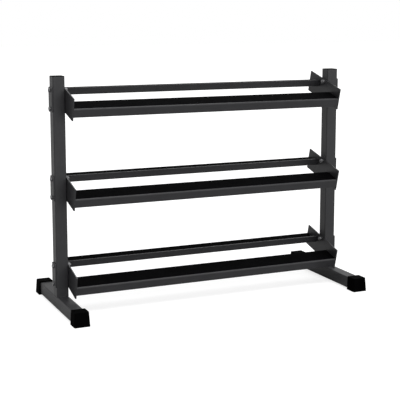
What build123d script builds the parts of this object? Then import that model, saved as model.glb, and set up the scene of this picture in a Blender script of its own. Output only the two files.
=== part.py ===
from build123d import *
from math import atan, degrees, radians, tan
import os

# Three-tier dumbbell rack, in millimetres.
# +X runs along the rails, the front of the rack faces -Y and +Z is up.
# The origin is on the floor, midway between the uprights and midway along
# the feet. Two side frames, each a foot with an upright welded on it, carry
# three bolted-in tiers. A tier is a welded tray: a front and a rear angle
# rail between two end plates, tipped forward so the weights face the user.

os.makedirs("parts", exist_ok=True)

# ---------------------------------------------------------------- sizes
# square steel tube of the feet and the uprights
tube_side = 50.8
tube_wall = 2.0
tube_inside_corner = 2.0

# rack as a whole
rail_length = 1220.0
upright_length = 914.4
foot_tube_length = 570.0

# tiers, measured to the middle of the end plates and spread evenly
bottom_tier_rise = 91.2
top_tier_drop = 93.2
tier_tilt = 15.0
tier_names = ["bottom", "middle", "top"]

# end plates, flat bar welded across the ends of the two rails
end_plate_length = 266.0
end_plate_height = 95.0
end_plate_thickness = 5.0
end_plate_corner = 1.5
end_plate_edge_round = 0.6

# backing plates, on the outer face of each upright
backing_plate_width = 47.0
backing_plate_height = 102.0
backing_plate_thickness = 5.0
backing_plate_corner = 2.0
backing_plate_edge_round = 0.6

# angle rails, folded from sheet
rail_sheet = 4.0
rail_bend_inside = 2.0
rail_shelf_depth = 88.0
front_leg_height = 37.0
rear_lip_height = 32.0
shelf_rise = 4.0
rail_edge_round = 0.8

# rubber liners on the shelves
liner_thickness = 2.0
liner_edge_setback = 2.0
liner_bend_setback = 0.5
liner_end_gap = 1.0
liner_edge_break = 0.5

# M10 hexagon bolts through backing plate, upright and end plate
bolt_diameter = 10.0
bolt_length = 75.0
bolt_hole_clearance = 0.5
bolt_spacing = 75.0
bolt_tip_chamfer = 1.0
hex_across_flats = 16.0
hex_face_diameter = 15.2
hex_chamfer_angle = 60.0
head_height = 6.4
nut_height = 8.4
thread_play = 0.1
washer_diameter = 20.0
washer_thickness = 2.0
washer_bore_clearance = 0.5

# rubber caps pushed over the ends of the foot tubes
cap_wall = 4.0
cap_crown = 5.0
cap_end = 4.0
cap_sole = 4.0
cap_flare = 3.6
cap_grip_length = 50.0
cap_fit_gap = 0.1
cap_corner = 4.0
cap_edge_round = 1.5

# plastic plugs in the tops of the uprights
plug_brim = 3.0
plug_crown = 1.2
plug_depth = 18.0
plug_fit_gap = 0.1
plug_skirt_wall = 2.0

# ------------------------------------------------------- derived places
tube_corner = tube_inside_corner + tube_wall
tube_bore = tube_side - 2 * tube_wall
foot_axis_height = cap_sole + tube_side / 2
upright_base = cap_sole + tube_side
upright_top = upright_base + upright_length
plate_face_x = rail_length / 2
upright_inner_x = plate_face_x + end_plate_thickness
upright_axis_x = upright_inner_x + tube_side / 2
upright_outer_x = upright_inner_x + tube_side
bolt_seat_x = upright_outer_x + backing_plate_thickness
bolt_hole_radius = (bolt_diameter + bolt_hole_clearance) / 2
rail_bend_outside = rail_bend_inside + rail_sheet
rear_rail_front = end_plate_length / 2 - rail_shelf_depth
bottom_tier_height = upright_base + bottom_tier_rise
top_tier_height = upright_top - top_tier_drop
tier_pitch = (top_tier_height - bottom_tier_height) / (len(tier_names) - 1)
tier_heights = [bottom_tier_height + tier_pitch * step for step in range(len(tier_names))]
sides = {"left": -1, "right": 1}
ends = {"front": -1, "rear": 1}


def tilted_plane(height, along):
    """Section plane of a tier: its x climbs rearwards along the tilt, its y is square to the shelf."""
    return Plane(origin=(along, 0, height), x_dir=Vector(0, 1, 0).rotate(Axis.X, tier_tilt), z_dir=(1, 0, 0))


def outward_plane(side, along, height):
    """Upright section plane that faces away from the middle of the rack."""
    return Plane(origin=(side * along, 0, height), x_dir=(0, 1, 0), z_dir=(side, 0, 0))


def rim_edges(plate):
    """The outer edges of a plate's two large faces, without the rims of its holes."""
    return [edge for face in plate.faces().filter_by(Axis.X) for edge in face.outer_wire().edges()]


def save(part, name):
    """Label one finished piece and write it under its own name."""
    part.label = name
    export_step(part, f"parts/{name}.step")


# ----------------------------------------------------------- side frames
def foot_tube(side):
    """Square tube lying front to rear, open at both ends under its caps."""
    with BuildPart() as foot:
        with BuildSketch(Plane.XZ.offset(-foot_tube_length / 2)):
            with Locations((side * upright_axis_x, foot_axis_height)):
                RectangleRounded(tube_side, tube_side, tube_corner)
                RectangleRounded(tube_bore, tube_bore, tube_inside_corner, mode=Mode.SUBTRACT)
        extrude(amount=foot_tube_length)
    return foot.part


def upright_tube(side):
    """Square post standing on its foot, cross-drilled for two bolts at each tier."""
    with BuildPart() as upright:
        with BuildSketch(Plane.XY.offset(upright_base)):
            with Locations((side * upright_axis_x, 0)):
                RectangleRounded(tube_side, tube_side, tube_corner)
                RectangleRounded(tube_bore, tube_bore, tube_inside_corner, mode=Mode.SUBTRACT)
        extrude(amount=upright_length)
        for height in tier_heights:
            with BuildSketch(outward_plane(side, upright_inner_x, height)):
                with GridLocations(0, bolt_spacing, 1, 2):
                    Circle(bolt_hole_radius)
            extrude(amount=tube_side, mode=Mode.SUBTRACT)
    return upright.part


def upright_plug(side):
    """Plastic plug: a crowned brim on the tube's end and a hollow skirt inside its bore."""
    skirt = tube_bore - 2 * plug_fit_gap
    skirt_bore = skirt - 2 * plug_skirt_wall
    with BuildPart() as plug:
        with BuildSketch(Plane.XY.offset(upright_top)):
            with Locations((side * upright_axis_x, 0)):
                RectangleRounded(tube_side, tube_side, tube_corner)
        extrude(amount=plug_brim)
        chamfer(plug.faces().sort_by(Axis.Z)[-1].edges(), length=plug_crown)
        with BuildSketch(Plane.XY.offset(upright_top)):
            with Locations((side * upright_axis_x, 0)):
                RectangleRounded(skirt, skirt, tube_inside_corner)
                Rectangle(skirt_bore, skirt_bore, mode=Mode.SUBTRACT)
        extrude(amount=-plug_depth)
    return plug.part


def foot_cap(side, end):
    """Rubber cap over one end of a foot tube, its sides flaring from the crest down to the sole."""
    sleeve = tube_side + 2 * cap_wall
    crest = foot_axis_height + tube_side / 2 + cap_crown
    length = cap_grip_length + cap_end
    mouth_y = end * (foot_tube_length / 2 - cap_grip_length)
    socket = tube_side + 2 * cap_fit_gap
    with BuildPart() as cap:
        with BuildSketch(Plane.XY.offset(crest)):
            with Locations((side * upright_axis_x, mouth_y)):
                RectangleRounded(sleeve, 2 * length, cap_corner)
        extrude(amount=-crest, taper=-degrees(atan(cap_flare / crest)))
        fillet(cap.faces().sort_by(Axis.Z)[-1].edges(), radius=cap_edge_round)
        split(bisect_by=Plane.XZ.offset(-mouth_y), keep=Keep.BOTTOM if end > 0 else Keep.TOP)
        with BuildSketch(Plane.XZ.offset(-end * foot_tube_length / 2)):
            with Locations((side * upright_axis_x, foot_axis_height)):
                RectangleRounded(socket, socket, tube_corner + cap_fit_gap)
        extrude(amount=end * 2 * cap_grip_length, mode=Mode.SUBTRACT)
    return cap.part


# ----------------------------------------------------------------- tiers
def angle_rail(height, front_edge, corner_level, leg_height, leg_turn):
    """Folded angle: a shelf running rearwards from the fold and a leg up (+1) or down (-1) from it."""
    shelf_back = front_edge + rail_shelf_depth
    sheet_level = corner_level + leg_turn * rail_sheet
    leg_end = corner_level + leg_turn * leg_height
    leg_back = front_edge + rail_sheet
    with BuildPart() as rail:
        with BuildSketch(tilted_plane(height, -rail_length / 2)) as section:
            with BuildLine():
                Polyline(
                    (front_edge, corner_level),
                    (shelf_back, corner_level),
                    (shelf_back, sheet_level),
                    (leg_back, sheet_level),
                    (leg_back, leg_end),
                    (front_edge, leg_end),
                    close=True,
                )
            make_face()
            free_ends = section.vertices().group_by(Axis.X)[-1]
            free_ends += section.vertices().sort_by_distance((front_edge, leg_end))[0:2]
            fillet(free_ends, radius=rail_edge_round)
            outer_fold = section.vertices().sort_by_distance((front_edge, corner_level))[0]
            fillet(outer_fold, radius=rail_bend_outside)
            inner_fold = section.vertices().sort_by_distance((leg_back, sheet_level))[0]
            fillet(inner_fold, radius=rail_bend_inside)
        extrude(amount=rail_length)
    return rail.part


def shelf_liner(height, front_edge, back_edge):
    """Flat rubber strip glued on a rail's shelf."""
    with BuildPart() as liner:
        with BuildSketch(tilted_plane(height, liner_end_gap - rail_length / 2)):
            with Locations(((front_edge + back_edge) / 2, shelf_rise + liner_thickness / 2)):
                Rectangle(back_edge - front_edge, liner_thickness)
        extrude(amount=rail_length - 2 * liner_end_gap)
        top_face = liner.faces().sort_by(Axis.Z)[-1]
        chamfer(top_face.edges(), length=liner_edge_break)
    return liner.part


def end_plate(side, height):
    """Flat plate that closes a tier's end, drilled on the upright's centreline."""
    with BuildPart() as plate:
        with BuildSketch(tilted_plane(height, side * plate_face_x)):
            RectangleRounded(end_plate_length, end_plate_height, end_plate_corner)
            with PolarLocations(bolt_spacing / 2, 2, start_angle=90 - tier_tilt):
                Circle(bolt_hole_radius, mode=Mode.SUBTRACT)
        extrude(amount=side * end_plate_thickness)
        fillet(rim_edges(plate), radius=end_plate_edge_round)
    return plate.part


def backing_plate(side, height):
    """Upright rectangular plate that spreads the two bolt heads' load over the tube wall."""
    with BuildPart() as plate:
        with BuildSketch(outward_plane(side, upright_outer_x, height)):
            RectangleRounded(backing_plate_width, backing_plate_height, backing_plate_corner)
            with GridLocations(0, bolt_spacing, 1, 2):
                Circle(bolt_hole_radius, mode=Mode.SUBTRACT)
        extrude(amount=backing_plate_thickness)
        fillet(rim_edges(plate), radius=backing_plate_edge_round)
    return plate.part


# -------------------------------------------------------------- fasteners
def hexagon(plane, thickness):
    """Sketch and raise a joint's two hexagons with their outer corners turned off by a cone."""
    cone_foot = hex_face_diameter / 2 + thickness * tan(radians(hex_chamfer_angle))
    with BuildPart() as blocks:
        with BuildSketch(plane):
            with GridLocations(0, bolt_spacing, 1, 2):
                RegularPolygon(hex_across_flats / 2, 6, major_radius=False)
        extrude(amount=thickness)
        with BuildSketch(plane):
            with GridLocations(0, bolt_spacing, 1, 2):
                Circle(cone_foot)
        extrude(amount=thickness, taper=hex_chamfer_angle, mode=Mode.INTERSECT)
    return blocks.part


def joint_bolts(side, height):
    """Two hexagon bolts, heads on the backing plate and tips past the nuts."""
    seat = outward_plane(side, bolt_seat_x, height)
    with BuildPart() as bolts:
        add(hexagon(seat, head_height))
        with BuildSketch(seat):
            with GridLocations(0, bolt_spacing, 1, 2):
                Circle(bolt_diameter / 2)
        extrude(amount=-bolt_length)
        tips = bolts.faces().filter_by(Axis.X).sort_by(Axis.X, reverse=side > 0)[-2:]
        chamfer(tips.edges(), length=bolt_tip_chamfer)
    return bolts.part


def joint_washers(side, height):
    """Two plain washers between the end plate and the nuts."""
    with BuildPart() as washers:
        with BuildSketch(outward_plane(side, plate_face_x, height)):
            with GridLocations(0, bolt_spacing, 1, 2):
                Circle(washer_diameter / 2)
                Circle((bolt_diameter + washer_bore_clearance) / 2, mode=Mode.SUBTRACT)
        extrude(amount=-washer_thickness)
    return washers.part


def joint_nuts(side, height):
    """Two hexagon nuts on the inner side of the end plate."""
    seat = outward_plane(-side, washer_thickness - plate_face_x, height)
    with BuildPart() as nuts:
        add(hexagon(seat, nut_height))
        with BuildSketch(seat):
            with GridLocations(0, bolt_spacing, 1, 2):
                Circle((bolt_diameter + thread_play) / 2)
        extrude(amount=nut_height, mode=Mode.SUBTRACT)
    return nuts.part


# --------------------------------------------------------------- assembly
for side_name, side in sides.items():
    save(foot_tube(side), f"foot_tube_{side_name}")
    save(upright_tube(side), f"upright_{side_name}")
    save(upright_plug(side), f"upright_plug_{side_name}")
    for end_name, end in ends.items():
        save(foot_cap(side, end), f"foot_cap_{side_name}_{end_name}")

for tier_name, height in zip(tier_names, tier_heights):
    front_edge = -end_plate_length / 2
    front_rail = angle_rail(height, front_edge, shelf_rise, front_leg_height, -1)
    rear_rail = angle_rail(height, rear_rail_front, shelf_rise - rail_sheet, rear_lip_height, 1)
    front_liner_start = front_edge + rail_bend_outside + liner_bend_setback
    front_liner_stop = front_edge + rail_shelf_depth - liner_edge_setback
    rear_liner_start = rear_rail_front + rail_bend_outside + liner_bend_setback
    rear_liner_stop = end_plate_length / 2 - liner_edge_setback
    save(front_rail, f"{tier_name}_front_rail")
    save(rear_rail, f"{tier_name}_rear_rail")
    save(shelf_liner(height, front_liner_start, front_liner_stop), f"{tier_name}_front_liner")
    save(shelf_liner(height, rear_liner_start, rear_liner_stop), f"{tier_name}_rear_liner")
    for side_name, side in sides.items():
        save(end_plate(side, height), f"{tier_name}_end_plate_{side_name}")
        save(backing_plate(side, height), f"{tier_name}_backing_plate_{side_name}")
        save(joint_bolts(side, height), f"{tier_name}_bolts_{side_name}")
        save(joint_washers(side, height), f"{tier_name}_washers_{side_name}")
        save(joint_nuts(side, height), f"{tier_name}_nuts_{side_name}")
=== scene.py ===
import math
import random

import bmesh
import bpy
from mathutils import Matrix, Vector


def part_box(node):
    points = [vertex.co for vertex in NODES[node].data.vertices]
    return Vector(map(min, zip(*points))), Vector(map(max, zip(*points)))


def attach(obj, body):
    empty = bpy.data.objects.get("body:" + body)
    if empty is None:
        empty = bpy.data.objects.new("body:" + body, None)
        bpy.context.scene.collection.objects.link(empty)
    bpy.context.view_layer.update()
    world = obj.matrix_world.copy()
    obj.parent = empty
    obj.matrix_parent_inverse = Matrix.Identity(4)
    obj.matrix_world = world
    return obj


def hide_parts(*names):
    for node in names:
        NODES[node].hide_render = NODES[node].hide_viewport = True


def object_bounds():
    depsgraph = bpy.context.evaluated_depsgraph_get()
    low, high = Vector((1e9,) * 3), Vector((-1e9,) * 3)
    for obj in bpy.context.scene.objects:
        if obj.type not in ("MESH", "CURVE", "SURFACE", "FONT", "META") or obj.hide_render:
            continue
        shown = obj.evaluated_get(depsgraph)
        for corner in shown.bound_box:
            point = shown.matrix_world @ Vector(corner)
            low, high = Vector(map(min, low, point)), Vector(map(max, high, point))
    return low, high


bl_info = {
    "name": "Dumbbell Rack",
    "version": (1, 0, 0),
    "blender": (4, 5, 0),
    "location": "View3D > Sidebar > Dumbbell Rack",
    "description": "Finishes and small parts of a three-tier dumbbell rack",
    "category": "Object",
}

# The steel tubes, rails and plates are the frame's own nodes and get a
# powder-coat finish. The moulded rubber, the liners, the fasteners and the
# weld beads are modelled here, each in the place that its node gives.
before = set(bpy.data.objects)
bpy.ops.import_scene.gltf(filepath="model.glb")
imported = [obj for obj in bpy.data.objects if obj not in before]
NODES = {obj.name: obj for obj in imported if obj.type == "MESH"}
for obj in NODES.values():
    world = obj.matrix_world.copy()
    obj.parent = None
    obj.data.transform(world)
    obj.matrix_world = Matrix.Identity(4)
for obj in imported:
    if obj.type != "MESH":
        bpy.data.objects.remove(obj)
CAD_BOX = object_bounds()
BODY = "root"
MM = 0.001
TINY = 0.001 * MM       # two places closer than this are the same
CLEAN_CUT = 1e-8        # how near a plane a corner counts as on it
MERGE = 1e-7            # corners closer than this become one
SHARP_FOLD = 0.8        # folds above this angle, in radians, are a block's own edges
FACING = 0.99           # a face that looks this squarely along an axis belongs to that side
TIERS = ("bottom", "middle", "top")
SIDES = {"left": -1, "right": 1}
ENDS = {"front": -1, "rear": 1}


# ------------------------------------------------------------------ sizes
class RackColours(bpy.types.PropertyGroup):
    """Colours of the rack's finishes."""
    paint: bpy.props.FloatVectorProperty(
        name="Powder coat", description="Colour of the coated steel", subtype="COLOR",
        size=3, min=0, max=1, default=(0.0265, 0.0265, 0.0288))
    liner: bpy.props.FloatVectorProperty(
        name="Liner rubber", description="Colour of the shelf liners", subtype="COLOR",
        size=3, min=0, max=1, default=(0.0016, 0.0016, 0.0019))
    cap: bpy.props.FloatVectorProperty(
        name="Cap rubber", description="Colour of the foot caps", subtype="COLOR",
        size=3, min=0, max=1, default=(0.0013, 0.0013, 0.0014))
    plug: bpy.props.FloatVectorProperty(
        name="Plug plastic", description="Colour of the plugs in the uprights", subtype="COLOR",
        size=3, min=0, max=1, default=(0.0030, 0.0030, 0.0033))
    fastener: bpy.props.FloatVectorProperty(
        name="Fasteners", description="Colour of the blackened bolts, nuts and washers",
        subtype="COLOR", size=3, min=0, max=1, default=(0.2, 0.2, 0.205))
    dust: bpy.props.FloatVectorProperty(
        name="Dust", description="Colour of the light dust that settles on flat faces",
        subtype="COLOR", size=3, min=0, max=1, default=(0.16, 0.155, 0.15))
    floor: bpy.props.FloatVectorProperty(
        name="Floor", description="Colour of the studio floor", subtype="COLOR",
        size=3, min=0, max=1, default=(0.45, 0.45, 0.45))


class RackSizes(bpy.types.PropertyGroup):
    """Sizes of the small parts, on top of what the frame's nodes give."""
    tilt: bpy.props.FloatProperty(
        name="Tier tilt", description="Forward slope of the shelves", subtype="ANGLE",
        default=math.radians(15.0))
    tube_side: bpy.props.FloatProperty(
        name="Tube side", description="Outside of the square tube", unit="LENGTH",
        default=50.8 * MM)
    tube_corner: bpy.props.FloatProperty(
        name="Tube corner", description="Outer corner radius of the tube", unit="LENGTH",
        default=4.0 * MM)
    rail_sheet: bpy.props.FloatProperty(
        name="Rail sheet", description="Thickness of the rails' sheet", unit="LENGTH",
        default=4.0 * MM)
    shelf_rise: bpy.props.FloatProperty(
        name="Shelf rise", description="Shelf surface above the end plate's middle",
        unit="LENGTH", default=4.0 * MM)
    shelf_depth: bpy.props.FloatProperty(
        name="Shelf depth", description="Front to back size of each rail's shelf",
        unit="LENGTH", default=88.0 * MM)
    tray_depth: bpy.props.FloatProperty(
        name="Tray depth", description="Front to back size of a whole tier",
        unit="LENGTH", default=266.0 * MM)
    weld_leg: bpy.props.FloatProperty(
        name="Weld leg", description="Leg of the fillet welds", unit="LENGTH", default=4.5 * MM)
    weld_ripple: bpy.props.FloatProperty(
        name="Weld ripple", description="Distance between two ripples of a weld bead",
        unit="LENGTH", default=2.6 * MM)
    bolt_diameter: bpy.props.FloatProperty(
        name="Bolt diameter", description="Thread size of the bolts", unit="LENGTH",
        default=10.0 * MM)
    thread_pitch: bpy.props.FloatProperty(
        name="Thread pitch", description="Pitch of the bolts' thread", unit="LENGTH",
        default=1.5 * MM)
    across_flats: bpy.props.FloatProperty(
        name="Across flats", description="Size of the hexagons", unit="LENGTH",
        default=16.0 * MM)
    head_height: bpy.props.FloatProperty(
        name="Head height", description="Height of the bolt heads", unit="LENGTH",
        default=6.4 * MM)
    cap_crown: bpy.props.FloatProperty(
        name="Cap crown", description="Thickness of a foot cap over its tube", unit="LENGTH",
        default=5.0 * MM)
    cap_fit_gap: bpy.props.FloatProperty(
        name="Cap fit gap", description="Gap between a tube and its cap", unit="LENGTH",
        default=0.1 * MM)
    cap_grip: bpy.props.FloatProperty(
        name="Cap grip", description="Length of tube inside a foot cap", unit="LENGTH",
        default=50.0 * MM)
    cap_corner: bpy.props.FloatProperty(
        name="Cap corner", description="Radius of a cap's upright corners", unit="LENGTH",
        default=4.0 * MM)
    cap_edge_round: bpy.props.FloatProperty(
        name="Cap edge", description="Rounding round a cap's top", unit="LENGTH",
        default=1.5 * MM)
    liner_edge_round: bpy.props.FloatProperty(
        name="Liner edge", description="Rounding of the liners' edges", unit="LENGTH",
        default=0.6 * MM)
    cap_flare: bpy.props.FloatProperty(
        name="Cap flare", description="How far a cap's sole stands out past its crest",
        unit="LENGTH", default=3.6 * MM)


class StageSettings(bpy.types.PropertyGroup):
    """Camera and lights."""
    eye_azimuth: bpy.props.FloatProperty(
        name="Eye azimuth", description="Direction of the camera round the rack",
        subtype="ANGLE", default=math.radians(-24.04))
    eye_distance: bpy.props.FloatProperty(
        name="Eye distance", description="Level distance from the rack's middle to the camera",
        unit="LENGTH", default=4.401)
    eye_height: bpy.props.FloatProperty(
        name="Eye height", description="Height of the camera", unit="LENGTH", default=1.231)
    aim_height: bpy.props.FloatProperty(
        name="Aim height", description="Height that the camera looks at", unit="LENGTH",
        default=0.589)
    aim_side: bpy.props.FloatProperty(
        name="Aim side", description="Sideways step of the point that the camera looks at",
        unit="LENGTH", default=-0.006)
    lens: bpy.props.FloatProperty(
        name="Lens", description="Focal length on a 36 mm sensor, in millimetres", default=91.9)
    rise: bpy.props.FloatProperty(
        name="Lens shift", description="Small vertical shift of the lens", default=-0.1)
    key_power: bpy.props.FloatProperty(
        name="Overhead light", description="Strength of the soft light from above", default=1.7)
    fill_power: bpy.props.FloatProperty(
        name="Front light", description="Strength of the weak light from the front", default=1.3)
    rear_power: bpy.props.FloatProperty(
        name="Rear light", description="Strength of the weak light from behind", default=0.5)
    floor_glow: bpy.props.FloatProperty(
        name="Floor glow", description="Brightness added to the white floor", default=0.75)
    room_light: bpy.props.FloatProperty(
        name="Room light", description="Brightness of the white room", default=0.5)


def colours():
    """The panel's colours."""
    return bpy.context.scene.rack_colours


def sizes():
    """The panel's sizes."""
    return bpy.context.scene.rack_sizes


# ------------------------------------------------------- node-group effects
def link(tree, source, target):
    """Join two sockets."""
    tree.links.new(source, target)


def add_node(tree, kind, **values):
    """Add a shader node, with its properties or its named inputs set."""
    node = tree.nodes.new(kind)
    for name, value in values.items():
        if hasattr(node, name):
            setattr(node, name, value)
        else:
            node.inputs[name.replace("_", " ")].default_value = value
    return node


def new_group(name, inputs, outputs):
    """A node group with float inputs (name: default) and float outputs."""
    group = bpy.data.node_groups.new(name, "ShaderNodeTree")
    for label, default in inputs.items():
        socket = group.interface.new_socket(label, in_out="INPUT", socket_type="NodeSocketFloat")
        socket.default_value = default
    for label in outputs:
        group.interface.new_socket(label, in_out="OUTPUT", socket_type="NodeSocketFloat")
    return group, group.nodes.new("NodeGroupInput"), group.nodes.new("NodeGroupOutput")


def remap(tree, source, low, high, out_low, out_high):
    """Stretch a value from one range to another, clamped."""
    node = add_node(tree, "ShaderNodeMapRange")
    for socket, value in zip(node.inputs[1:5], (low, high, out_low, out_high)):
        socket.default_value = value
    link(tree, source, node.inputs[0])
    return node.outputs[0]


def math_node(tree, operation, first, second):
    """One arithmetic node between two sockets or a socket and a number."""
    node = add_node(tree, "ShaderNodeMath", operation=operation)
    for socket, value in zip(node.inputs, (first, second)):
        if isinstance(value, (int, float)):
            socket.default_value = value
        else:
            link(tree, value, socket)
    return node.outputs[0]


def fine_grain_group():
    """Small bumps over broad waves: orange peel, moulded skin or cast texture, by its inputs."""
    tree, given, result = new_group(
        "fine_grain", {"Grain Scale": 900.0, "Wave Scale": 160.0, "Wave Share": 0.35},
        ("Height", "Mottle"))
    place = add_node(tree, "ShaderNodeTexCoord").outputs["Object"]
    grain = add_node(tree, "ShaderNodeTexNoise", Detail=3.0, Roughness=0.55)
    wave = add_node(tree, "ShaderNodeTexNoise", Detail=2.0, Roughness=0.5)
    mottle = add_node(tree, "ShaderNodeTexNoise", Scale=9.0, Detail=4.0, Roughness=0.6)
    for node in (grain, wave, mottle):
        link(tree, place, node.inputs["Vector"])
    link(tree, given.outputs["Grain Scale"], grain.inputs["Scale"])
    link(tree, given.outputs["Wave Scale"], wave.inputs["Scale"])
    high = math_node(tree, "MULTIPLY", wave.outputs["Fac"], given.outputs["Wave Share"])
    rest = math_node(tree, "SUBTRACT", 1.0, given.outputs["Wave Share"])
    low = math_node(tree, "MULTIPLY", grain.outputs["Fac"], rest)
    link(tree, math_node(tree, "ADD", high, low), result.inputs["Height"])
    link(tree, remap(tree, mottle.outputs["Fac"], 0.35, 0.65, 0.0, 1.0), result.inputs["Mottle"])
    return tree


def settled_dust_group():
    """A mask of thin dust on faces that look up, in soft uneven patches."""
    tree, given, result = new_group(
        "settled_dust", {"Amount": 0.3, "Patch Scale": 14.0}, ("Mask",))
    geometry = add_node(tree, "ShaderNodeNewGeometry")
    split = add_node(tree, "ShaderNodeSeparateXYZ")
    link(tree, geometry.outputs["Normal"], split.inputs[0])
    upward = remap(tree, split.outputs["Z"], 0.35, 0.95, 0.0, 1.0)
    patches = add_node(tree, "ShaderNodeTexNoise", Detail=6.0, Roughness=0.68)
    link(tree, add_node(tree, "ShaderNodeTexCoord").outputs["Object"], patches.inputs["Vector"])
    link(tree, given.outputs["Patch Scale"], patches.inputs["Scale"])
    uneven = remap(tree, patches.outputs["Fac"], 0.38, 0.72, 0.15, 1.0)
    mask = math_node(tree, "MULTIPLY", upward, uneven)
    link(tree, math_node(tree, "MULTIPLY", mask, given.outputs["Amount"]), result.inputs["Mask"])
    return tree


def place_group(tree, name, **values):
    """Put a shared effect into a material with its own values."""
    node = tree.nodes.new("ShaderNodeGroup")
    node.node_tree = bpy.data.node_groups[name]
    for label, value in values.items():
        node.inputs[label.replace("_", " ")].default_value = value
    return node


# --------------------------------------------------------------- materials
def start_material(name, **shader_values):
    """A material with a Principled shader whose plain values are set on its own sockets."""
    material = bpy.data.materials.new(name)
    material.use_nodes = True
    shader = material.node_tree.nodes["Principled BSDF"]
    for label, value in shader_values.items():
        shader.inputs[label.replace("_", " ")].default_value = value
    return material, material.node_tree, shader


def mix_colour(tree, mask, first, second):
    """Blend two colours (each a socket or a plain colour) by a mask."""
    node = add_node(tree, "ShaderNodeMix", data_type="RGBA")
    link(tree, mask, node.inputs[0])
    for socket, value in ((node.inputs[6], first), (node.inputs[7], second)):
        if isinstance(value, bpy.types.NodeSocket):
            link(tree, value, socket)
        else:
            socket.default_value = (*value, 1.0)
    return node.outputs[2]


def shade(colour, factor):
    """A colour made lighter or darker."""
    return tuple(min(1.0, part * factor) for part in colour)


def textured_finish(name, colour, contrast, roughness, bump, grain, dust, **shader_values):
    """A surface with grain, mottled colour and roughness, and a little settled dust.

    roughness is the low and high value, bump the strength and height, and grain the grain's
    scale, the waves' scale and the waves' share.
    """
    material, tree, shader = start_material(name, **shader_values)
    texture = place_group(tree, "fine_grain", Grain_Scale=grain[0], Wave_Scale=grain[1],
                          Wave_Share=grain[2])
    mottled = mix_colour(tree, texture.outputs["Mottle"], shade(colour, 1 - contrast),
                         shade(colour, 1 + contrast))
    powder = place_group(tree, "settled_dust", Amount=dust)
    coloured = mix_colour(tree, powder.outputs["Mask"], mottled, tuple(colours().dust))
    link(tree, coloured, shader.inputs["Base Color"])
    rough = remap(tree, texture.outputs["Height"], 0.3, 0.7, *roughness)
    link(tree, rough, shader.inputs["Roughness"])
    relief = add_node(tree, "ShaderNodeBump", Strength=bump[0], Distance=bump[1])
    link(tree, texture.outputs["Height"], relief.inputs["Height"])
    link(tree, relief.outputs["Normal"], shader.inputs["Normal"])
    return material


def frame_paint():
    """Charcoal powder coat, satin, with a fine orange peel."""
    return textured_finish(
        "frame_paint", colours().paint, contrast=0.09, roughness=(0.30, 0.44),
        bump=(0.42, 0.6 * MM), grain=(950.0, 240.0, 0.4), dust=0.04, Specular_IOR_Level=0.36)


def liner_rubber():
    """Matt black rubber sheet with a pebbled skin."""
    return textured_finish(
        "liner_rubber", colours().liner, contrast=0.25, roughness=(0.6, 0.8),
        bump=(0.6, 0.8 * MM), grain=(650.0, 90.0, 0.25), dust=0.004, Specular_IOR_Level=0.008)


def cap_rubber():
    """Moulded black rubber with a low sheen and a trace of dust."""
    return textured_finish(
        "cap_rubber", colours().cap, contrast=0.25, roughness=(0.48, 0.64),
        bump=(0.4, 0.5 * MM), grain=(700.0, 60.0, 0.3), dust=0.004, Specular_IOR_Level=0.004)


def plug_plastic():
    """Moulded black plastic with a fine spark-eroded skin."""
    return textured_finish(
        "plug_plastic", colours().plug, contrast=0.12, roughness=(0.55, 0.7),
        bump=(0.22, 0.4 * MM), grain=(1400.0, 120.0, 0.2), dust=0.01, Specular_IOR_Level=0.03)


def fastener_steel():
    """Black zinc plated steel with faint streaks."""
    return textured_finish(
        "fastener_steel", colours().fastener, contrast=0.25, roughness=(0.32, 0.5),
        bump=(0.15, 0.3 * MM), grain=(1600.0, 300.0, 0.5), dust=0.03, Metallic=0.85)


# ------------------------------------------------------------- mesh helpers
def spin_profile(bm, points, steps=48):
    """Turn a closed outline of (along, radius) points into a solid of revolution about X."""
    verts = [bm.verts.new((along, radius, 0)) for along, radius in points]
    edges = [bm.edges.new(pair) for pair in zip(verts, verts[1:])]
    bmesh.ops.spin(bm, geom=verts + edges, cent=(0, 0, 0), axis=(1, 0, 0), dvec=(0, 0, 0),
                   angle=math.tau, steps=steps, use_merge=True, use_duplicate=False)
    bmesh.ops.remove_doubles(bm, verts=bm.verts, dist=MERGE)


def cut_face(bm, point, outward):
    """Cut away what lies beyond a plane and close the cut."""
    cut = bmesh.ops.bisect_plane(
        bm, geom=bm.verts[:] + bm.edges[:] + bm.faces[:], dist=CLEAN_CUT, plane_co=point,
        plane_no=outward, clear_outer=True)
    rim = [part for part in cut["geom_cut"] if isinstance(part, bmesh.types.BMEdge)]
    bmesh.ops.edgeloop_fill(bm, edges=rim)


def cut_hexagon(bm, across_flats):
    """Cut six flats, parallel to X, on a turned blank."""
    for side in range(6):
        angle = math.radians(60 * side)
        outward = Vector((0, math.sin(angle), math.cos(angle)))
        cut_face(bm, outward * across_flats / 2, outward)


def round_edges(bm, edges, width, segments):
    """Round the given edges."""
    bmesh.ops.bevel(bm, geom=edges, offset=width, offset_type="OFFSET", segments=segments,
                    profile=0.5, affect="EDGES", material=-1)


def soften(bm, width, segments=2, angle=math.radians(30)):
    """Round the sharp edges of a mesh."""
    sharp = [edge for edge in bm.edges if edge.is_manifold and edge.calc_face_angle() > angle]
    round_edges(bm, sharp, width, segments)


def box_mesh(bm, size):
    """A block of a given size about the origin."""
    made = bmesh.ops.create_cube(bm, size=1.0)
    bmesh.ops.scale(bm, vec=size, verts=made["verts"])


def rounded_face(bm, half, corner, segments=6):
    """A square face about the origin with rounded corners."""
    known = set(bm.faces)
    made = bmesh.ops.create_grid(bm, x_segments=1, y_segments=1, size=half)["verts"]
    bmesh.ops.bevel(bm, geom=made, offset=corner, offset_type="OFFSET", segments=segments,
                    profile=0.5, affect="VERTICES", material=-1)
    return next(face for face in bm.faces if face not in known)


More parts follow.
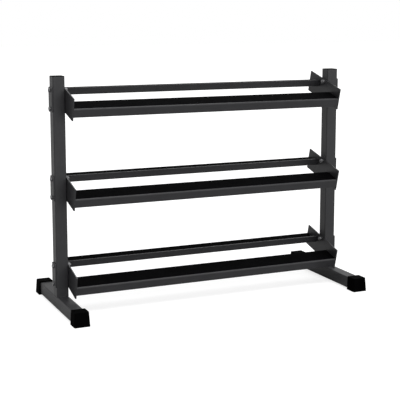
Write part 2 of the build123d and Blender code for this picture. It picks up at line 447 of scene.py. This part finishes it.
def raise_face(bm, face, rise, spread):
    """Extrude a face upwards and scale it about its own middle."""
    grown = bmesh.ops.extrude_discrete_faces(bm, faces=[face])["faces"][0]
    middle = grown.calc_center_median()
    bmesh.ops.scale(bm, vec=(spread, spread, 1), verts=grown.verts,
                    space=Matrix.Translation(-middle))
    bmesh.ops.translate(bm, vec=(0, 0, rise), verts=grown.verts)
    return grown


def join_copy(target, source, placement):
    """Copy one mesh into another at a placement."""
    scratch = bpy.data.meshes.new("scratch")
    source.to_mesh(scratch)
    scratch.transform(placement)
    target.from_mesh(scratch)
    bpy.data.meshes.remove(scratch)


def weight_normals(mesh, smooth_angle):
    """Lean every corner's normal to the largest faces it blends with, so flat faces stay flat."""
    around = [[] for _ in mesh.vertices]
    for face in mesh.polygons:
        for corner in face.vertices:
            around[corner].append((face.normal.copy(), face.area))
    limit = math.cos(smooth_angle)
    normals = []
    for face in mesh.polygons:
        for corner in face.vertices:
            lean = sum((normal * area for normal, area in around[corner]
                        if normal.dot(face.normal) > limit), Vector())
            normals.append(lean.normalized())
    mesh.normals_split_custom_set(normals)


def finish_piece(bm, name, material, replaced=(), smooth_angle=math.radians(35)):
    """Turn a bmesh into a named piece that rides on the rack."""
    bmesh.ops.remove_doubles(bm, verts=bm.verts, dist=MERGE)
    bmesh.ops.recalc_face_normals(bm, faces=bm.faces)
    mesh = bpy.data.meshes.new(name)
    bm.to_mesh(mesh)
    bm.free()
    for face in mesh.polygons:
        face.use_smooth = True
    mesh.set_sharp_from_angle(angle=smooth_angle)
    weight_normals(mesh, smooth_angle)
    mesh.materials.append(bpy.data.materials[material])
    piece = bpy.data.objects.new(name, mesh)
    bpy.context.collection.objects.link(piece)
    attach(piece, BODY)
    if replaced:
        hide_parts(*replaced)
    return piece


def box_of(node):
    """A node's middle and size."""
    low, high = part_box(node)
    low, high = Vector(low), Vector(high)
    return (low + high) / 2, high - low


def tilt_placement(middle):
    """Placement whose Y climbs rearwards along the tiers' tilt."""
    return Matrix.Translation(middle) @ Matrix.Rotation(sizes().tilt, 4, "X")


# ---------------------------------------------------------------- operators
CAP_FOLD = math.radians(40)         # folds above this stay crisp on the foot caps
PLUG_FOLD = math.radians(50)        # and on the plugs
FASTENER_FOLD = math.radians(18)    # and on bolts and nuts
FACE_SHARE = 0.93       # flat circle on a hexagon's face, as a share of the flats' size
THREAD_DEPTH = 0.61     # as a share of the pitch
THREAD_MERGE = 1e-6     # neighbouring turns of a thread join within this distance
TIP_CHAMFER = 1.0 * MM
TIP_DROP = 1.2          # depth of the tip's chamfer, as a share of the thread's depth
RINGS_PER_RIPPLE = 4
BEAD_RADIUS, BEAD_WAVE, BEAD_SHAKE = 0.64, 0.05, 0.02   # as shares of the weld's leg
BEAD_START = 0.25       # first ring, as a share of the leg
BEAD_END, BEAD_GROWTH = 0.55, 6     # size at a bead's ends, and how fast it swells from there


class RACK_OT_finishes(bpy.types.Operator):
    """Make the finishes and put them on the frame's own pieces"""
    bl_idname = "rack.finishes"
    bl_label = "Finishes"

    def execute(self, context):
        fine_grain_group()
        settled_dust_group()
        made = {}
        for maker in (frame_paint, liner_rubber, cap_rubber, plug_plastic, fastener_steel):
            made[maker.__name__] = maker()
        for node in NODES.values():
            for slot in node.material_slots:
                finish = slot.material.name.split(".")[0]
                slot.material = made[finish]
        for name, material in made.items():
            stale = bpy.data.materials.get(name)
            if stale is not material:
                stale.name = name + "_plain"
                material.name = name
        return {"FINISHED"}


class RACK_OT_liners(bpy.types.Operator):
    """Lay a rubber liner with rounded edges on each shelf"""
    bl_idname = "rack.liners"
    bl_label = "Shelf Liners"

    def execute(self, context):
        tilt = sizes().tilt
        for tier in TIERS:
            for place in ENDS:
                node = f"{tier}_{place}_liner"
                middle, size = box_of(node)
                spread = math.cos(tilt) ** 2 - math.sin(tilt) ** 2
                depth = (size.y * math.cos(tilt) - size.z * math.sin(tilt)) / spread
                thickness = (size.z * math.cos(tilt) - size.y * math.sin(tilt)) / spread
                bm = bmesh.new()
                box_mesh(bm, (size.x, depth, thickness))
                soften(bm, sizes().liner_edge_round)
                bm.transform(tilt_placement(middle))
                finish_piece(bm, f"{tier}_{place}_liner_sheet", "liner_rubber", (node,))
        return {"FINISHED"}


class RACK_OT_foot_caps(bpy.types.Operator):
    """Mould a rubber cap over each end of the feet"""
    bl_idname = "rack.foot_caps"
    bl_label = "Foot Caps"

    def execute(self, context):
        for side in SIDES:
            for end, direction in ENDS.items():
                self.mould(f"foot_cap_{side}_{end}", direction)
        return {"FINISHED"}

    def mould(self, node, direction):
        """A closed body that flares to its base, then the square socket for the tube's end."""
        middle, size = box_of(node)
        flare = sizes().cap_flare
        mouth = -direction * size.y / 2
        top, base = size.z / 2, -size.z / 2
        bm = bmesh.new()
        # a block as wide and as long as the crest, its mouth in place
        box_mesh(bm, (size.x - 2 * flare, size.y - flare, size.z))
        bmesh.ops.translate(bm, vec=(0, -direction * flare / 2, 0), verts=bm.verts)

        def outer(edge):
            """Whether an edge reaches the cap's closed end."""
            return max(vert.co.y * direction for vert in edge.verts) > 0

        upright = [edge for edge in bm.edges if outer(edge) and abs(
            edge.verts[0].co.z - edge.verts[1].co.z) > TINY]
        round_edges(bm, upright, sizes().cap_corner, 6)
        for vert in bm.verts:
            if vert.co.z < base + TINY:
                vert.co.x += math.copysign(flare, vert.co.x)
                if vert.co.y * direction > 0:
                    vert.co.y += direction * flare
        crest = [edge for edge in bm.edges if outer(edge)
                 and edge.calc_face_angle() > SHARP_FOLD
                 and min(vert.co.z for vert in edge.verts) > top - TINY]
        round_edges(bm, crest, sizes().cap_edge_round, 3)
        sole = [edge for edge in bm.edges if outer(edge)
                and edge.calc_face_angle() > SHARP_FOLD
                and max(vert.co.z for vert in edge.verts) < base + TINY]
        round_edges(bm, sole, sizes().cap_edge_round / 2, 2)
        axis_level = top - sizes().cap_crown - sizes().tube_side / 2
        self.cut_socket(bm, mouth, direction, axis_level)
        bm.transform(Matrix.Translation(middle))
        finish_piece(bm, f"{node}_moulding", "cap_rubber", (node,), CAP_FOLD)

    def cut_socket(self, bm, mouth, direction, axis_level):
        """Open the mouth and line it with the socket's walls and floor."""
        front = [face for face in bm.faces if face.normal.y * direction < -FACING
                 and abs(face.calc_center_median().y - mouth) < TINY]
        bmesh.ops.delete(bm, geom=front, context="FACES")
        rim = [edge for edge in bm.edges if edge.is_boundary]
        gap = sizes().cap_fit_gap
        lid = rounded_face(bm, sizes().tube_side / 2 + gap, sizes().tube_corner + gap)
        ring, inner = list(lid.verts), list(lid.edges)
        bmesh.ops.delete(bm, geom=[lid], context="FACES_ONLY")
        turn = Matrix.Translation((0, mouth, axis_level)) @ Matrix.Rotation(math.pi / 2, 4, "X")
        bmesh.ops.transform(bm, matrix=turn, verts=ring)
        bmesh.ops.triangle_fill(bm, use_beauty=True, use_dissolve=False, edges=rim + inner)
        walls = bmesh.ops.extrude_edge_only(bm, edges=inner)["geom"]
        deep = [part for part in walls if isinstance(part, bmesh.types.BMVert)]
        bmesh.ops.translate(bm, vec=(0, direction * sizes().cap_grip, 0), verts=deep)
        bottom = [part for part in walls if isinstance(part, bmesh.types.BMEdge)
                  and all(vert in deep for vert in part.verts)]
        bmesh.ops.edgeloop_fill(bm, edges=bottom)


class RACK_OT_upright_plugs(bpy.types.Operator):
    """Press a crowned plug with a hollow skirt into the top of each upright"""
    bl_idname = "rack.upright_plugs"
    bl_label = "Upright Plugs"
    # depth below the crown and step in from the brim of each ring, in millimetres: the
    # skirt's inside from its ceiling down, the skirt's outside back up, then the crown
    RINGS = ((3.0, 4.1), (21.0, 4.1), (21.0, 2.1), (3.0, 2.1), (3.0, 0.5), (2.7, 0.12),
             (2.35, 0.0), (1.7, 0.0), (1.2, 0.3), (0.85, 0.9), (0.5, 3.0), (0.2, 8.0),
             (0.0, 15.0))

    def execute(self, context):
        for side in SIDES:
            node = f"upright_plug_{side}"
            middle, size = box_of(node)
            brim = size.x / 2
            (level, inset), *rings = self.RINGS
            bm = bmesh.new()
            half = brim - inset * MM
            face = rounded_face(bm, half, sizes().tube_corner * half / brim)
            ceiling = list(face.edges)
            seat = middle.z + size.z / 2 - level * MM
            for drop, step in rings:
                spread = (brim - step * MM) / (brim - inset * MM)
                face = raise_face(bm, face, (level - drop) * MM, spread)
                level, inset = drop, step
            bmesh.ops.edgeloop_fill(bm, edges=ceiling)
            bm.transform(Matrix.Translation((middle.x, middle.y, seat)))
            finish_piece(bm, f"{node}_moulding", "plug_plastic", (node,), PLUG_FOLD)
        return {"FINISHED"}


class RACK_OT_bolts(bpy.types.Operator):
    """Turn the hexagon bolts with real threads at their tips"""
    bl_idname = "rack.bolts"
    bl_label = "Bolts"
    THREAD_LENGTH = 22 * MM
    THREAD_OVERLAP = 0.5 * MM   # how far the thread runs into the plain shank
    THREAD_UNDERSIZE = 0.05 * MM
    WASHER_FACE = 0.4 * MM      # height of the raised ring under the head
    RING_SHARE = (0.94, 0.95)   # the ring's two radii, as shares of half the flats' size
    HEAD_CHAMFER = 1.1 * MM
    DISH_SHARE = 0.86           # the dished top's radius, likewise
    DISH_DROP = (0.25 * MM, 0.35 * MM)  # depth of the dish at its rim and middle

    def execute(self, context):
        for side, direction in SIDES.items():
            bolt = self.turn_bolt(f"top_bolts_{side}")
            for tier in TIERS:
                node = f"{tier}_bolts_{side}"
                middle, size = box_of(node)
                spacing = size.z - sizes().across_flats
                pair = bmesh.new()
                for step in (-0.5, 0.5):
                    place = Matrix.Translation(middle + Vector((0, 0, step * spacing)))
                    spun = place @ Matrix.Diagonal((direction, 1, 1, 1))
                    join_copy(pair, bolt, spun)
                finish_piece(pair, f"{node}_turned", "fastener_steel", (node,), FASTENER_FOLD)
            bolt.free()
        return {"FINISHED"}

    def turn_bolt(self, node):
        """One bolt along X about the origin, its head at the +X end."""
        length = box_of(node)[1].x
        head = sizes().head_height
        radius = sizes().bolt_diameter / 2
        far = length / 2
        seat = far - head
        blank = sizes().across_flats / 2
        corner = blank / math.cos(math.radians(30))
        shank_end = -far + self.THREAD_LENGTH
        ring = seat + self.WASHER_FACE
        foot, brow = self.RING_SHARE
        dish_rim, dish_middle = self.DISH_DROP
        bm = bmesh.new()
        # the shank, the ring under the head, the chamfered head and its dished top
        spin_profile(bm, [(shank_end, 0), (shank_end, radius), (seat, radius),
                          (seat, blank * foot), (ring, blank * brow), (ring, corner),
                          (far - self.HEAD_CHAMFER, corner), (far, blank * FACE_SHARE),
                          (far - dish_rim, blank * self.DISH_SHARE), (far - dish_middle, 0)])
        cut_hexagon(bm, sizes().across_flats)
        thread = threaded_rod(radius - self.THREAD_UNDERSIZE, sizes().thread_pitch, -far,
                              shank_end + self.THREAD_OVERLAP)
        join_copy(bm, thread, Matrix.Identity(4))
        thread.free()
        return bm


def threaded_rod(radius, pitch, start, stop, steps=24):
    """A threaded length of rod along X, its tip at start chamfered."""
    depth = THREAD_DEPTH * pitch
    turns = math.ceil((stop - start) / pitch) + 2
    # one tooth: each corner's share of the pitch and its radius
    tooth = ((0.0, radius - depth), (0.4, radius), (0.52, radius), (0.92, radius - depth),
             (1.0, radius - depth))
    bm = bmesh.new()
    verts = [bm.verts.new((start - pitch + share * pitch, r, 0)) for share, r in tooth]
    edges = [bm.edges.new(pair) for pair in zip(verts, verts[1:])]
    bmesh.ops.spin(bm, geom=verts + edges, cent=(0, 0, 0), axis=(1, 0, 0),
                   dvec=(pitch / steps, 0, 0), angle=math.tau * turns, steps=steps * turns,
                   use_merge=False, use_duplicate=False)
    bmesh.ops.remove_doubles(bm, verts=bm.verts, dist=THREAD_MERGE)
    cut_face(bm, (start, 0, 0), (-1, 0, 0))
    cut_face(bm, (stop, 0, 0), (1, 0, 0))
    drop = depth * TIP_DROP
    for vert in bm.verts:
        reach = math.hypot(vert.co.y, vert.co.z)
        limit = radius - drop + max(0.0, vert.co.x - start) * drop / TIP_CHAMFER
        if vert.co.x - start < TIP_CHAMFER and reach > limit:
            vert.co.y *= limit / reach
            vert.co.z *= limit / reach
    return bm


class RACK_OT_nuts(bpy.types.Operator):
    """Turn the hexagon nuts, chamfered on both faces"""
    bl_idname = "rack.nuts"
    bl_label = "Nuts"
    THREAD_BITE = 0.2 * MM      # how deep a nut grips into the bolt's thread
    CHAMFER = 0.9 * MM
    SINK_WIDTH = 0.7 * MM       # countersink at each end of the bore
    SINK_DEPTH = 0.8 * MM

    def execute(self, context):
        blank = sizes().across_flats / 2
        corner = blank / math.cos(math.radians(30))
        bore = sizes().bolt_diameter / 2 - self.THREAD_BITE
        sink = bore + self.SINK_WIDTH
        for side in SIDES:
            for tier in TIERS:
                node = f"{tier}_nuts_{side}"
                middle, size = box_of(node)
                half = size.x / 2
                nut = bmesh.new()
                deep = half - self.SINK_DEPTH
                shoulder = half - self.CHAMFER
                spin_profile(nut, [(-half, sink), (-half, blank * FACE_SHARE),
                                   (-shoulder, corner), (shoulder, corner),
                                   (half, blank * FACE_SHARE), (half, sink),
                                   (deep, bore), (-deep, bore), (-half, sink)])
                cut_hexagon(nut, sizes().across_flats)
                pair = bmesh.new()
                spacing = size.z - sizes().across_flats
                for step in (-0.5, 0.5):
                    place = Matrix.Translation(middle + Vector((0, 0, step * spacing)))
                    join_copy(pair, nut, place)
                nut.free()
                finish_piece(pair, f"{node}_turned", "fastener_steel", (node,), FASTENER_FOLD)
        return {"FINISHED"}


class RACK_OT_welds(bpy.types.Operator):
    """Lay the rippled weld beads under the rails' ends and round the uprights' feet"""
    bl_idname = "rack.welds"
    bl_label = "Weld Beads"
    # how far a bead stops short of its shelf's front edge and back edge
    FRONT_TRIM = {"front_rail": 8 * MM, "rear_rail": 6 * MM}
    BACK_TRIM = 4 * MM
    SIDE_SINK = 1.5 * MM        # the upright's side beads sit this deep beside the foot's crown
    SIDE_REACH = 1.04           # and this far out, as a share of the upright's flat

    def execute(self, context):
        size = sizes()
        half_tray = size.tray_depth / 2
        under = size.shelf_rise - size.rail_sheet
        runs = {
            "front_rail": (-half_tray + self.FRONT_TRIM["front_rail"],
                           -half_tray + size.shelf_depth - self.BACK_TRIM),
            "rear_rail": (half_tray - size.shelf_depth + self.FRONT_TRIM["rear_rail"],
                          half_tray - self.BACK_TRIM),
        }
        shaker = random.Random(7)
        for tier in TIERS:
            for side, direction in SIDES.items():
                middle, plate = box_of(f"{tier}_end_plate_{side}")
                face_x = middle.x - direction * plate.x / 2
                placement = tilt_placement(Vector((face_x, middle.y, middle.z)))
                for rail, (start, stop) in runs.items():
                    bm = bmesh.new()
                    bead(bm, Vector((0, start, under)), Vector((0, stop, under)), size.weld_leg,
                         size.weld_ripple, shaker)
                    bm.transform(placement)
                    finish_piece(bm, f"{tier}_{rail}_weld_{side}", "frame_paint")
        for side in SIDES:
            middle, post = box_of(f"upright_{side}")
            base = middle.z - post.z / 2
            reach = size.tube_side / 2
            inner = reach - size.tube_corner
            bm = bmesh.new()
            for turn in (-1, 1):
                bead(bm, Vector((-inner, turn * reach, 0)), Vector((inner, turn * reach, 0)),
                     size.weld_leg, size.weld_ripple, shaker)
                side_x = turn * inner * self.SIDE_REACH
                bead(bm, Vector((side_x, -inner, -self.SIDE_SINK)),
                     Vector((side_x, inner, -self.SIDE_SINK)),
                     size.weld_leg, size.weld_ripple, shaker)
            bm.transform(Matrix.Translation((middle.x, middle.y, base)))
            finish_piece(bm, f"upright_{side}_weld", "frame_paint")
        return {"FINISHED"}


def bead(bm, start, stop, leg, ripple, shaker, around=10):
    """A weld bead from start to stop: rings that swell and shrink once per ripple.

    A ring's radius is a share of the weld's leg, and falls off towards both ends.
    """
    run = stop - start
    count = max(4, round(run.length / ripple)) * RINGS_PER_RIPPLE
    turn = run.to_track_quat("Z", "Y").to_matrix().to_4x4()
    ring = bmesh.ops.create_circle(
        bm, cap_ends=True, segments=around, radius=leg * BEAD_START,
        matrix=Matrix.Translation(start) @ turn)
    face = ring["verts"][0].link_faces[0]
    rim = list(face.edges)
    for step in range(1, count + 1):
        share = step / count
        phase = math.tau * (step % RINGS_PER_RIPPLE) / RINGS_PER_RIPPLE
        swell = BEAD_RADIUS + BEAD_WAVE * math.sin(phase) + shaker.uniform(-BEAD_SHAKE, BEAD_SHAKE)
        swell *= min(1.0, BEAD_END + BEAD_GROWTH * min(share, 1 - share))
        grown = bmesh.ops.extrude_discrete_faces(bm, faces=[face])
        face = grown["faces"][0]
        centre = start + run * share
        old = face.calc_center_median()
        now = (face.verts[0].co - old).length
        for vert in face.verts:
            vert.co = centre + (vert.co - old) * (leg * swell / now)
    bmesh.ops.edgeloop_fill(bm, edges=rim)


class RACK_OT_stage(bpy.types.Operator):
    """Set up the pale floor, the soft lights and the camera"""
    bl_idname = "rack.stage"
    bl_label = "Stage"
    # each light's name, where it shines from, its angle and the setting of its strength
    LIGHTS = (
        ("overhead_light", (0.3, -0.9, 3.6), math.radians(42), "key_power"),
        ("front_light", (1.0, -3.6, 0.5), math.radians(60), "fill_power"),
        ("rear_light", (1.6, 2.2, 3.0), math.radians(30), "rear_power"),
    )
    FLOOR_HALF = 30.0
    FLOOR_GAP = 0.0002      # the floor lies this far under the soles

    def execute(self, context):
        stage = context.scene.rack_stage
        self.lay_floor()
        self.light_room(context.scene, stage)
        for name, place, angle, strength in self.LIGHTS:
            self.hang(name, place, angle, getattr(stage, strength))
        self.place_camera(context.scene, stage)
        return {"FINISHED"}

    def lay_floor(self):
        """A plain pale floor that keeps its soft shadows and looks white to the camera."""
        material, tree, shader = start_material("studio_floor", Roughness=0.9,
                                                Specular_IOR_Level=0.05)
        shader.inputs["Base Color"].default_value = (*colours().floor, 1)
        shader.inputs["Emission Color"].default_value = (1, 1, 1, 1)
        path = add_node(tree, "ShaderNodeLightPath")
        glow = math_node(tree, "MULTIPLY", path.outputs["Is Camera Ray"],
                         bpy.context.scene.rack_stage.floor_glow)
        link(tree, glow, shader.inputs["Emission Strength"])
        bm = bmesh.new()
        bmesh.ops.create_grid(bm, x_segments=1, y_segments=1, size=self.FLOOR_HALF)
        mesh = bpy.data.meshes.new("studio_floor")
        bm.to_mesh(mesh)
        bm.free()
        mesh.materials.append(material)
        floor = bpy.data.objects.new("studio_floor", mesh)
        floor.location.z = -self.FLOOR_GAP
        bpy.context.collection.objects.link(floor)

    def light_room(self, scene, stage):
        """A room that lights the rack softly and looks plain white to the camera."""
        world = bpy.data.worlds.new("studio_room")
        scene.world = world
        world.use_nodes = True
        tree = world.node_tree
        backdrop = tree.nodes["Background"]
        backdrop.inputs["Color"].default_value = (1, 1, 1, 1)
        backdrop.inputs["Strength"].default_value = stage.room_light
        seen = add_node(tree, "ShaderNodeBackground", Color=(1, 1, 1, 1), Strength=1.0)
        path = add_node(tree, "ShaderNodeLightPath")
        mix = add_node(tree, "ShaderNodeMixShader")
        link(tree, path.outputs["Is Camera Ray"], mix.inputs[0])
        link(tree, backdrop.outputs[0], mix.inputs[1])
        link(tree, seen.outputs[0], mix.inputs[2])
        link(tree, mix.outputs[0], tree.nodes["World Output"].inputs["Surface"])
        scene.view_settings.view_transform = "Standard"

    def hang(self, name, place, angle, power):
        """A soft distant light that shines from a point towards the rack's middle."""
        data = bpy.data.lights.new(name, "SUN")
        data.angle = angle
        data.energy = power
        lamp = bpy.data.objects.new(name, data)
        lamp.location = place
        lamp.rotation_euler = (-Vector(place)).to_track_quat("-Z", "Y").to_euler()
        bpy.context.collection.objects.link(lamp)

    def place_camera(self, scene, stage):
        """Stand the camera at its azimuth and height and aim it at the rack's middle."""
        data = bpy.data.cameras.new("camera")
        data.lens = stage.lens
        data.sensor_width = 36.0
        data.shift_y = stage.rise
        data.clip_end = 200.0
        camera = bpy.data.objects.new("camera", data)
        low, high = CAD_BOX
        middle = (Vector(low) + Vector(high)) / 2
        eye = Vector((middle.x + math.sin(stage.eye_azimuth) * stage.eye_distance,
                      middle.y - math.cos(stage.eye_azimuth) * stage.eye_distance,
                      stage.eye_height))
        aim = Vector((middle.x + stage.aim_side, middle.y, stage.aim_height))
        camera.location = eye
        camera.rotation_euler = (aim - eye).to_track_quat("-Z", "Y").to_euler()
        bpy.context.collection.objects.link(camera)
        scene.camera = camera


OPERATORS = (
    RACK_OT_finishes,
    RACK_OT_liners,
    RACK_OT_foot_caps,
    RACK_OT_upright_plugs,
    RACK_OT_bolts,
    RACK_OT_nuts,
    RACK_OT_welds,
    RACK_OT_stage,
)


class RACK_PT_panel(bpy.types.Panel):
    """Sizes, colours and steps of the dumbbell rack"""
    bl_idname = "RACK_PT_panel"
    bl_label = "Dumbbell Rack"
    bl_space_type = "VIEW_3D"
    bl_region_type = "UI"
    bl_category = "Dumbbell Rack"

    def draw(self, context):
        scene = context.scene
        for group in (scene.rack_colours, scene.rack_sizes, scene.rack_stage):
            box = self.layout.box()
            for name in group.__annotations__:
                box.prop(group, name)
        for operator in OPERATORS:
            self.layout.operator(operator.bl_idname)


GROUPS = {"rack_colours": RackColours, "rack_sizes": RackSizes, "rack_stage": StageSettings}


def register():
    for group in (*GROUPS.values(), *OPERATORS, RACK_PT_panel):
        bpy.utils.register_class(group)
    for name, group in GROUPS.items():
        setattr(bpy.types.Scene, name, bpy.props.PointerProperty(type=group))


def unregister():
    for name in GROUPS:
        delattr(bpy.types.Scene, name)
    for group in reversed((*GROUPS.values(), *OPERATORS, RACK_PT_panel)):
        bpy.utils.unregister_class(group)


def main():
    register()
    for operator in OPERATORS:
        family, name = operator.bl_idname.split(".")
        getattr(getattr(bpy.ops, family), name)()


if __name__ == "__main__":
    main()
